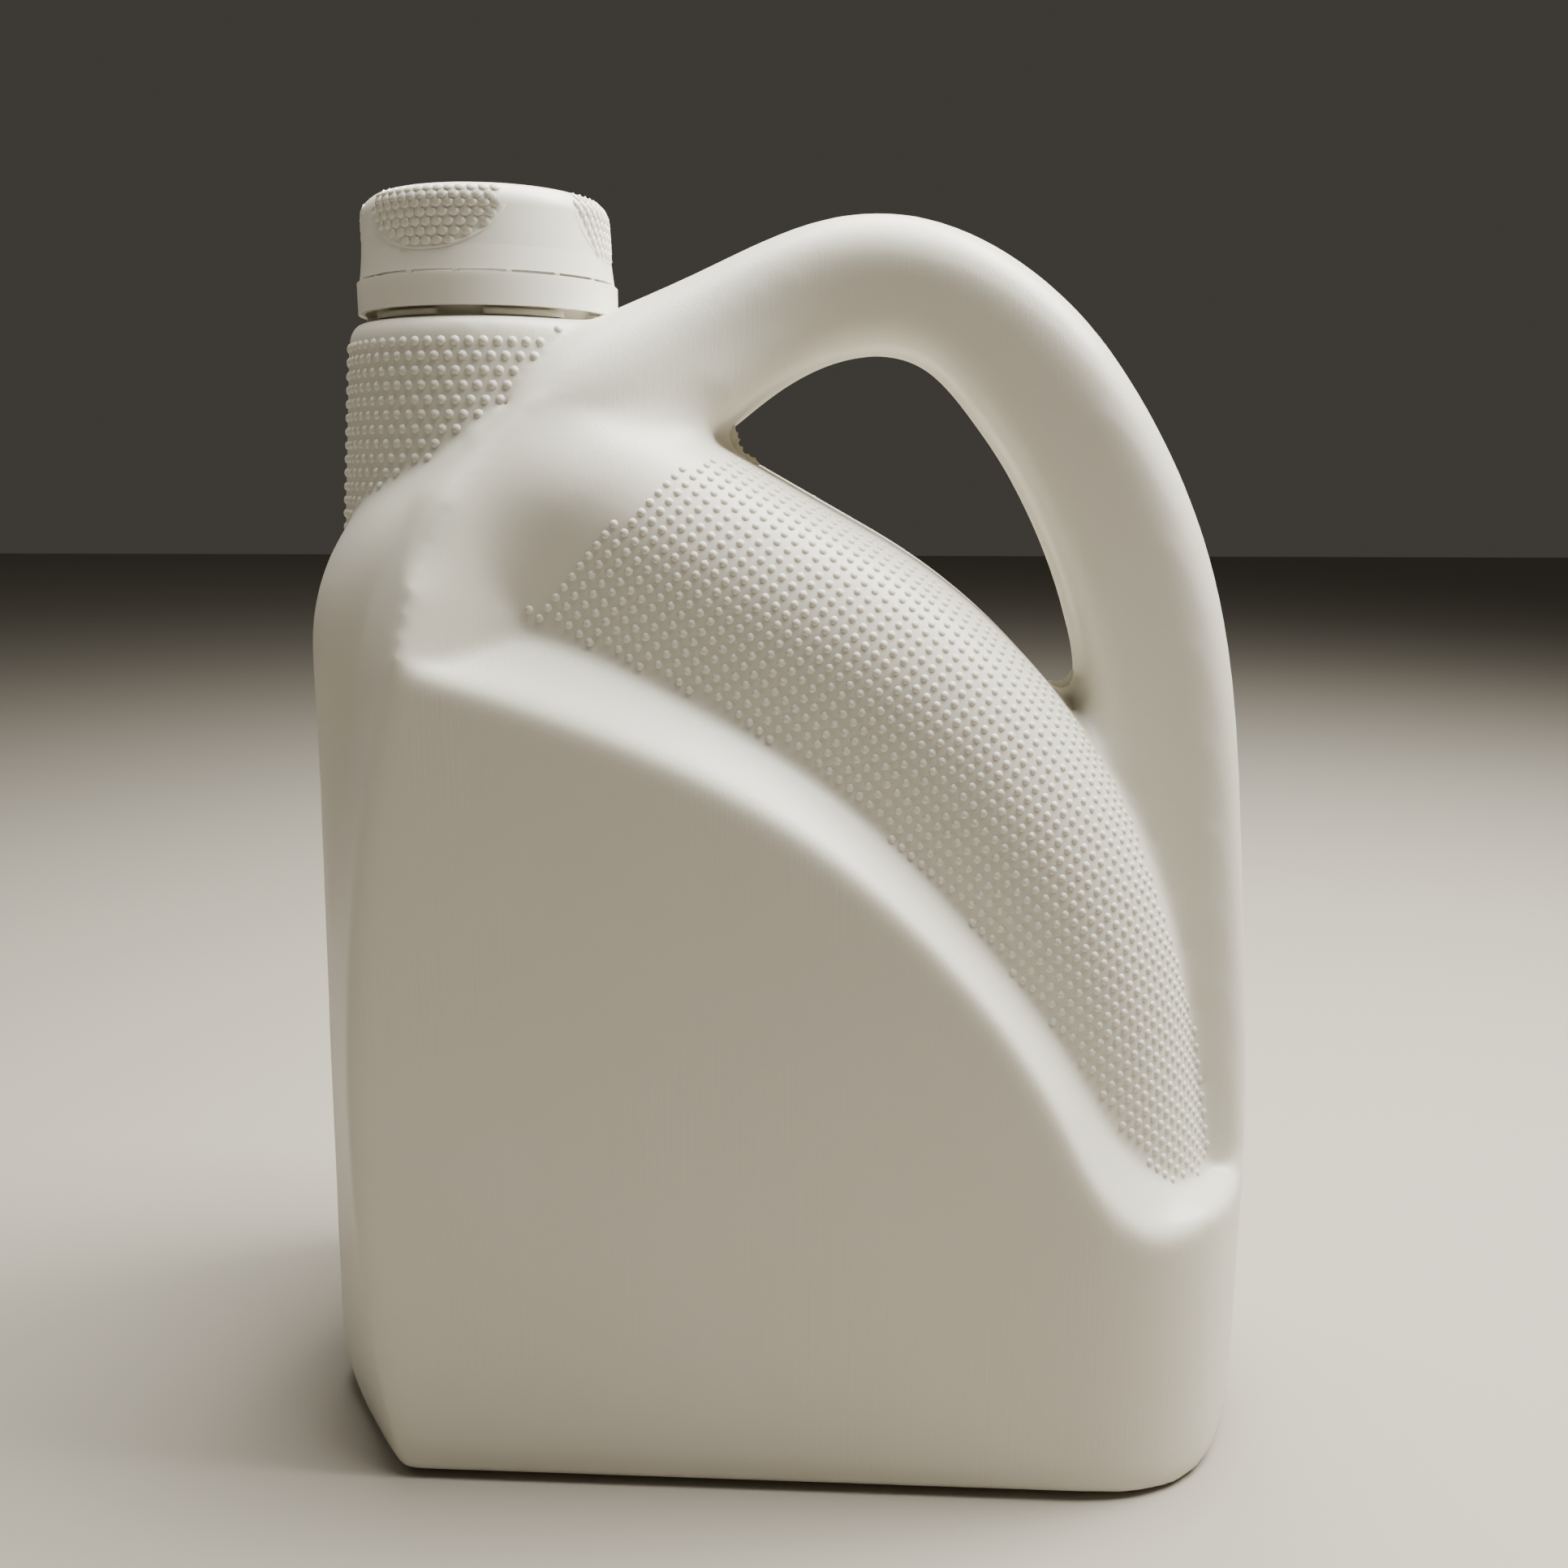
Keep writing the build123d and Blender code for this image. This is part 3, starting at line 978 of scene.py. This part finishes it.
@dataclass
class GripStuds:
    """The studs of the two grip panels, in a square lattice that follows the rounded surface.

    Sizes are in millimetres and degrees, and the last bend is in radians.
    """

    pitch: float = 2.79
    angle: float = 50.5
    size: float = 0.95
    seat_reach: float = 3.0
    centre: tuple[float, float] = (20.0, 150.0)
    half_count: int = 80
    panel_depth: float = 46.0
    roundness: float = 27.5
    last_bend: float = math.pi / 2 - 0.18
    flat_edge: tuple[tuple[float, float], ...] = (
        (-55.3, 211.5), (-46.1, 214.7), (-36.5, 212.5), (-14.4, 200.0), (7.8, 187.5),
        (19.5, 180.3), (29.8, 171.7), (39.4, 162.1), (47.8, 151.4), (54.9, 139.9),
        (60.9, 127.7), (65.3, 114.9), (68.4, 101.6), (73.5, 72.6), (78.5, 43.5),
    )
    outline: tuple[tuple[float, float], ...] = (
        (-50.7, 196.0), (-41.4, 205.6), (-31.0, 215.3), (-19.8, 225.9), (-13.0, 228.0),
        (10.0, 226.0), (60.0, 184.0), (71.5, 166.0), (81.5, 145.0), (91.5, 117.0),
        (98.0, 93.0), (101.5, 72.0), (98.0, 67.5), (91.0, 68.5), (84.0, 74.8),
        (71.5, 93.5), (60.4, 109.7), (46.0, 127.6), (28.4, 146.2), (11.1, 162.4),
        (-6.0, 174.0), (-18.5, 181.0), (-41.0, 191.0),
    )

    def build(
        self, setter: StudSetter, skin: bpy.types.Object, material: bpy.types.Material
    ) -> bpy.types.Object:
        """Set the studs on both panels.

        Args:
            setter: Sets the domes.
            skin: Skin that carries them.
            material: Finish of the plastic.

        Returns:
            All the studs as one piece.
        """
        points = []
        for spot in self._lattice():
            place = self._on_surface(spot)
            if place is not None:
                points += [place, (place[0], -place[1], place[2])]
        studs = setter.place("grip_studs", points, skin, self.size, self.seat_reach, material)
        finish_piece(studs, "bottle", material)
        return studs

    def _lattice(self) -> list[Vector]:
        """Lattice points in the flattened panel.

        Returns:
            Places along the bottle and up it.
        """
        turn = math.radians(self.angle)
        along = (self.pitch * math.cos(turn), self.pitch * math.sin(turn))
        across = (-along[1], along[0])
        spots = []
        for i in range(-self.half_count, self.half_count + 1):
            for j in range(-self.half_count, self.half_count + 1):
                x = self.centre[0] + i * along[0] + j * across[0]
                z = self.centre[1] + i * along[1] + j * across[1]
                spots.append(Vector((x, z)))
        return spots

    def _inside(self, x: float, z: float) -> bool:
        """Tell whether a point seen from the front lies in the panel.

        Args:
            x: Place along the bottle.
            z: Height.

        Returns:
            True inside the outline.
        """
        inside = False
        for (ax, az), (bx, bz) in zip(self.outline, self.outline[1:] + self.outline[:1]):
            if (az > z) != (bz > z) and x < (bx - ax) * (z - az) / (bz - az) + ax:
                inside = not inside
        return inside

    def _nearest(self, spot: Vector) -> tuple[float, Vector, bool]:
        """Find the nearest point of the line where the panel starts to curve away.

        Args:
            spot: Place in the flattened panel.

        Returns:
            The gap, the nearest point, and whether the place lies on the curved side.
        """
        edge = [Vector(p) for p in self.flat_edge]
        best = (math.inf, spot, False)
        for a, b in zip(edge, edge[1:]):
            run = b - a
            share = max(0.0, min(1.0, (spot - a).dot(run) / run.length_squared))
            away = spot - (a + run * share)
            if away.length < best[0]:
                best = (away.length, a + run * share, run.x * away.y - run.y * away.x > 0)
        return best

    def _on_surface(self, spot: Vector) -> Point | None:
        """Bend a point of the flattened panel onto the rounded surface.

        Args:
            spot: Place in the flattened panel.

        Returns:
            The place on the front panel, or None outside the panel.
        """
        gap, foot, curved = self._nearest(spot)
        place = (spot.x, -self.panel_depth, spot.y)
        if curved and gap >= 1e-6:
            bend = gap / self.roundness
            if bend > self.last_bend:
                return None
            flat = foot + (spot - foot).normalized() * self.roundness * math.sin(bend)
            place = (flat.x, -self.panel_depth + self.roundness * (1 - math.cos(bend)), flat.y)
        return place if self._inside(place[0], place[2]) else None


@dataclass
class CollarStuds:
    """The studs on the collar, in staggered rows, in millimetres."""

    foot: tuple[float, float] = (34.8, 214.0)
    top: tuple[float, float] = (31.4, COLLAR_TOP)
    first_row: float = 255.1
    row_step: float = 3.03
    rows: int = 16
    around: int = 66
    size: float = 1.08
    seat_reach: float = 0.3

    def build(
        self, setter: StudSetter, skin: bpy.types.Object, material: bpy.types.Material
    ) -> bpy.types.Object:
        """Set the studs round the collar.

        Args:
            setter: Sets the domes.
            skin: Skin that carries them.
            material: Finish of the plastic.

        Returns:
            All the studs as one piece.
        """
        points = []
        for row in range(self.rows):
            height = self.first_row - row * self.row_step
            share = (height - self.foot[1]) / (self.top[1] - self.foot[1])
            radius = self.foot[0] + (self.top[0] - self.foot[0]) * share
            for i in range(self.around):
                points.append(round_neck(radius, math.tau * (i + 0.5 * (row % 2)) / self.around, height))
        studs = setter.place("collar_studs", points, skin, self.size, self.seat_reach, material)
        finish_piece(studs, "bottle", material)
        return studs


# The cap


@dataclass
class ScrewCap:
    """The cap with its four patches of scales and their rims, in millimetres and degrees."""

    node: str = "cap"
    scale_size: float = 1.12
    scale_step: float = 2.6
    seat_reach: float = 1.5
    row_step: float = 1.9
    crowded_share: float = 0.75
    crowded_depth: float = 3.0
    first_row_depth: float = 0.9
    top: float = 284.4
    low: float = 271.3
    rim_steps: int = 36
    rim_section: tuple[tuple[float, float], ...] = ((-0.5, -0.15), (-0.2, 0.13), (0.2, 0.13), (0.5, -0.15))
    patches: tuple[tuple[float, float], ...] = ((-141.0, -66.0), (39.0, 114.0), (-34.0, 22.0), (146.0, 202.0))
    profile: tuple[tuple[float, float], ...] = (
        (28.6, 266.9), (28.0, 271.9), (27.4, 280.2), (26.6, 282.2), (25.7, 283.5), (24.1, 284.6),
    )

    def build(self, setter: StudSetter, material: bpy.types.Material) -> bpy.types.Object:
        """Dress the cap node and set its scales and rims.

        Args:
            setter: Sets the scales.
            material: Finish of the cap.

        Returns:
            The scales as one piece.
        """
        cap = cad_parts[self.node]
        dress(cap, material)
        points = []
        row = 0
        height = self.top - self.first_row_depth
        while height > self.low + self.scale_size:
            for start, end in self.patches:
                points += self._row(height, row, start, end)
            crowded = height > self.top - self.crowded_depth
            height -= self.row_step * (self.crowded_share if crowded else 1.0)
            row += 1
        self._rims(material)
        scales = setter.place("cap_scales", points, cap, self.scale_size, self.seat_reach, material)
        finish_piece(scales, "cap", material)
        return scales

    def _spot(self, turn: float, height: float, out: float = 0.0) -> Point:
        """A place on the cap's wall, or a little outside it.

        Args:
            turn: Turn about the neck's axis, in radians.
            height: Height of the place.
            out: How far it stands off the wall.

        Returns:
            The place.
        """
        radius = np.interp(height, [p[1] for p in self.profile], [p[0] for p in self.profile])
        return round_neck(float(radius) + out, turn, height)

    def _row(self, height: float, row: int, start: float, end: float) -> list[Point]:
        """One row of scales in a patch that hangs from the cap's top edge like a half moon.

        Args:
            height: Height of the row.
            row: Number of the row. Every second one is staggered.
            start: Turn where the patch starts, in degrees.
            end: Turn where it ends.

        Returns:
            The places of the scales.
        """
        middle = math.radians((start + end) / 2)
        half = math.radians(end - start) / 2
        step = self.scale_step / self.profile[1][0]
        depth = (self.top - height) / (self.top - self.low)
        room = half * math.sqrt(max(0.0, 1.0 - depth * depth)) - 0.6 * step
        count = int(half / step) + 1
        turns = [(i + 0.5 * (row % 2)) * step for i in range(-count, count + 1)]
        return [self._spot(middle + turn, height) for turn in turns if abs(turn) <= room]

    def _rims(self, material: bpy.types.Material) -> bpy.types.Object:
        """Build the fine raised edge round each patch of scales.

        Args:
            material: Finish of the cap.

        Returns:
            The edges as one piece.
        """
        points = []
        faces = []
        for start, end in self.patches:
            middle = math.radians((start + end) / 2)
            half = math.radians(end - start) / 2
            faces += swept_faces(self.rim_steps, len(self.rim_section), closed=False, first=len(points))
            for i in range(self.rim_steps + 1):
                angle = math.pi * i / self.rim_steps
                for across, out in self.rim_section:
                    share = 1.0 + across / (self.top - self.low)
                    turn = middle - half * math.cos(angle) * share
                    height = self.top - (self.top - self.low) * math.sin(angle) * share
                    points.append(self._spot(turn, height, out))
        rims = mesh_object("cap_patch_rims", mesh_from("cap_patch_rims", points, faces))
        shade_smooth(rims)
        finish_piece(rims, "cap", material)
        return rims


@dataclass(frozen=True)
class ScrewThread:
    """A right-hand screw ridge round the neck axis that fades out at both ends, in millimetres."""

    name: str
    body: str
    root: float
    crest: float
    start: float
    pitch: float = 6.0
    turns: float = 1.2
    start_angle: float = 40.0
    width: float = 2.6
    sink: float = 0.3
    fade_share: float = 0.1
    steps: int = 90
    crisp_angle: float = 50.0

    def build(self, material: bpy.types.Material) -> bpy.types.Object:
        """Build the ridge.

        Args:
            material: Finish of the plastic.

        Returns:
            The ridge as a closed piece.
        """
        foot = self.root - math.copysign(self.sink, self.crest - self.root)
        points = []
        for i in range(self.steps + 1):
            share = i / self.steps
            angle = math.radians(self.start_angle) + math.tau * self.turns * share
            fade = min(1.0, share / self.fade_share, (1.0 - share) / self.fade_share)
            top = self.root + (self.crest - self.root) * math.sin(fade * math.pi / 2)
            rise = self.start + self.pitch * self.turns * share
            points += [
                round_neck(foot, angle, rise - self.width / 2),
                round_neck(top, angle, rise - self.width / 5),
                round_neck(top, angle, rise + self.width / 5),
                round_neck(foot, angle, rise + self.width / 2),
            ]
        faces = end_faces(self.steps, 4) + swept_faces(self.steps, 4)
        ridge = mesh_object(self.name, outward(mesh_from(self.name, points, faces)))
        shade_smooth(ridge, self.crisp_angle)
        finish_piece(ridge, self.body, material)
        return ridge


# Studio


@dataclass(frozen=True)
class SoftLight:
    """A soft square light, in millimetres and watts."""

    name: str
    place: Point
    target: Point
    size: float
    power: float
    colour: Colour

    def build(self) -> None:
        """Add the light."""
        lamp = bpy.data.lights.new(self.name, "AREA")
        lamp.size = self.size * MM
        lamp.energy = self.power
        lamp.color = self.colour
        holder = bpy.data.objects.new(self.name, lamp)
        bpy.context.scene.collection.objects.link(holder)
        start = Vector(self.place) * MM
        holder.location = start
        holder.rotation_euler = (Vector(self.target) * MM - start).to_track_quat("-Z", "Y").to_euler()


@dataclass
class Studio:
    """Plain floor, soft light and the camera at the photograph's angle."""

    eye: Point = (19.053, -347.887, 223.599)
    down: float = 11.829
    turn: float = 3.0
    lens: float = 33.54
    half_floor: float = 4000.0
    floor_colour: Colour = (0.36, 0.33, 0.28)
    air_colour: Colour = (0.9, 0.84, 0.72)
    air_strength: float = 0.06
    lights: tuple[SoftLight, ...] = (
        SoftLight("soft_top", (100, 100, 850), (20, 0, 150), 560, 19.0, (1.0, 0.985, 0.93)),
        SoftLight("soft_right", (560, 80, 900), (20, 0, 150), 450, 22.0, (1.0, 0.985, 0.93)),
        SoftLight("soft_left", (-600, 0, 700), (-60, 0, 200), 450, 0.7, (1.0, 0.95, 0.86)),
    )

    def build(self) -> None:
        """Set up the floor, the lights, the camera and the air."""
        self._floor()
        for light in self.lights:
            light.build()
        self._camera()
        world = bpy.data.worlds.new("studio_air")
        world.use_nodes = True
        background = world.node_tree.nodes["Background"]
        background.inputs["Color"].default_value = (*self.air_colour, 1)
        background.inputs["Strength"].default_value = self.air_strength
        bpy.context.scene.world = world

    def _floor(self) -> None:
        """Add the plain floor."""
        half = self.half_floor
        corners = [(-half, -half, 0), (half, -half, 0), (half, half, 0), (-half, half, 0)]
        floor = mesh_object("floor", mesh_from("floor", corners, [(0, 1, 2, 3)]))
        paint = bpy.data.materials.new("floor_paint")
        paint.use_nodes = True
        shader = paint.node_tree.nodes["Principled BSDF"]
        shader.inputs["Base Color"].default_value = (*self.floor_colour, 1)
        shader.inputs["Roughness"].default_value = 0.9
        floor.data.materials.append(paint)

    def _camera(self) -> None:
        """Add the camera."""
        view = bpy.data.cameras.new("camera")
        view.lens = self.lens
        view.sensor_width = 36.0
        view.clip_start = 0.01
        holder = bpy.data.objects.new("camera", view)
        bpy.context.scene.collection.objects.link(holder)
        holder.location = Vector(self.eye) * MM
        holder.rotation_euler = (math.radians(90 - self.down), 0, math.radians(self.turn))
        bpy.context.scene.camera = holder


BODY_PLASTIC = Plastic("body_plastic", lines=0.35, parting=0.6)
CAP_PLASTIC = Plastic("cap_plastic", colour=(0.86, 0.83, 0.74), shade=(0.8, 0.77, 0.67), roughness=0.36)
FOAM = Plastic("foam_disc", colour=(0.82, 0.82, 0.78), shade=(0.8, 0.8, 0.75), roughness=0.7)


def main() -> None:
    """Build the studio, the bottle, its cap and its band in order."""
    logging.basicConfig(level=logging.INFO, format="%(message)s")
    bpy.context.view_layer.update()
    Studio().build()
    groups = shared_groups()
    body, top, foam = (plastic.material(groups) for plastic in (BODY_PLASTIC, CAP_PLASTIC, FOAM))
    studs = studs_tree()
    domes = StudSetter(studs, stud_mesh(StudShape.DOME))
    scales = StudSetter(studs, stud_mesh(StudShape.SCALE))
    skin = BottleSkin().build(body)
    GripStuds().build(domes, skin, body)
    CollarStuds().build(domes, skin, body)
    ScrewCap().build(scales, top)
    PinchFlash("flash_low_corner", (57.0, 176.0), (68.8, 177.6), (72.5, 187.0)).build(body)
    PinchFlash("flash_neck_corner", (-6.0, 241.5), (-10.8, 234.4), (-5.0, 226.5)).build(body)
    ScrewThread("neck_thread", "bottle", 23.6, 25.0, 270.6).build(body)
    ScrewThread("cap_thread", "cap", 25.5, 24.1, 268.65).build(top)
    for name, material in (("tamper_band", top), ("cap_liner", foam)):
        dress(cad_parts[name], material)
        LOG.info("%s: dressed", name)
    for setter in (domes, scales):
        bpy.data.objects.remove(setter.stud)


if __name__ == "__main__":
    main()
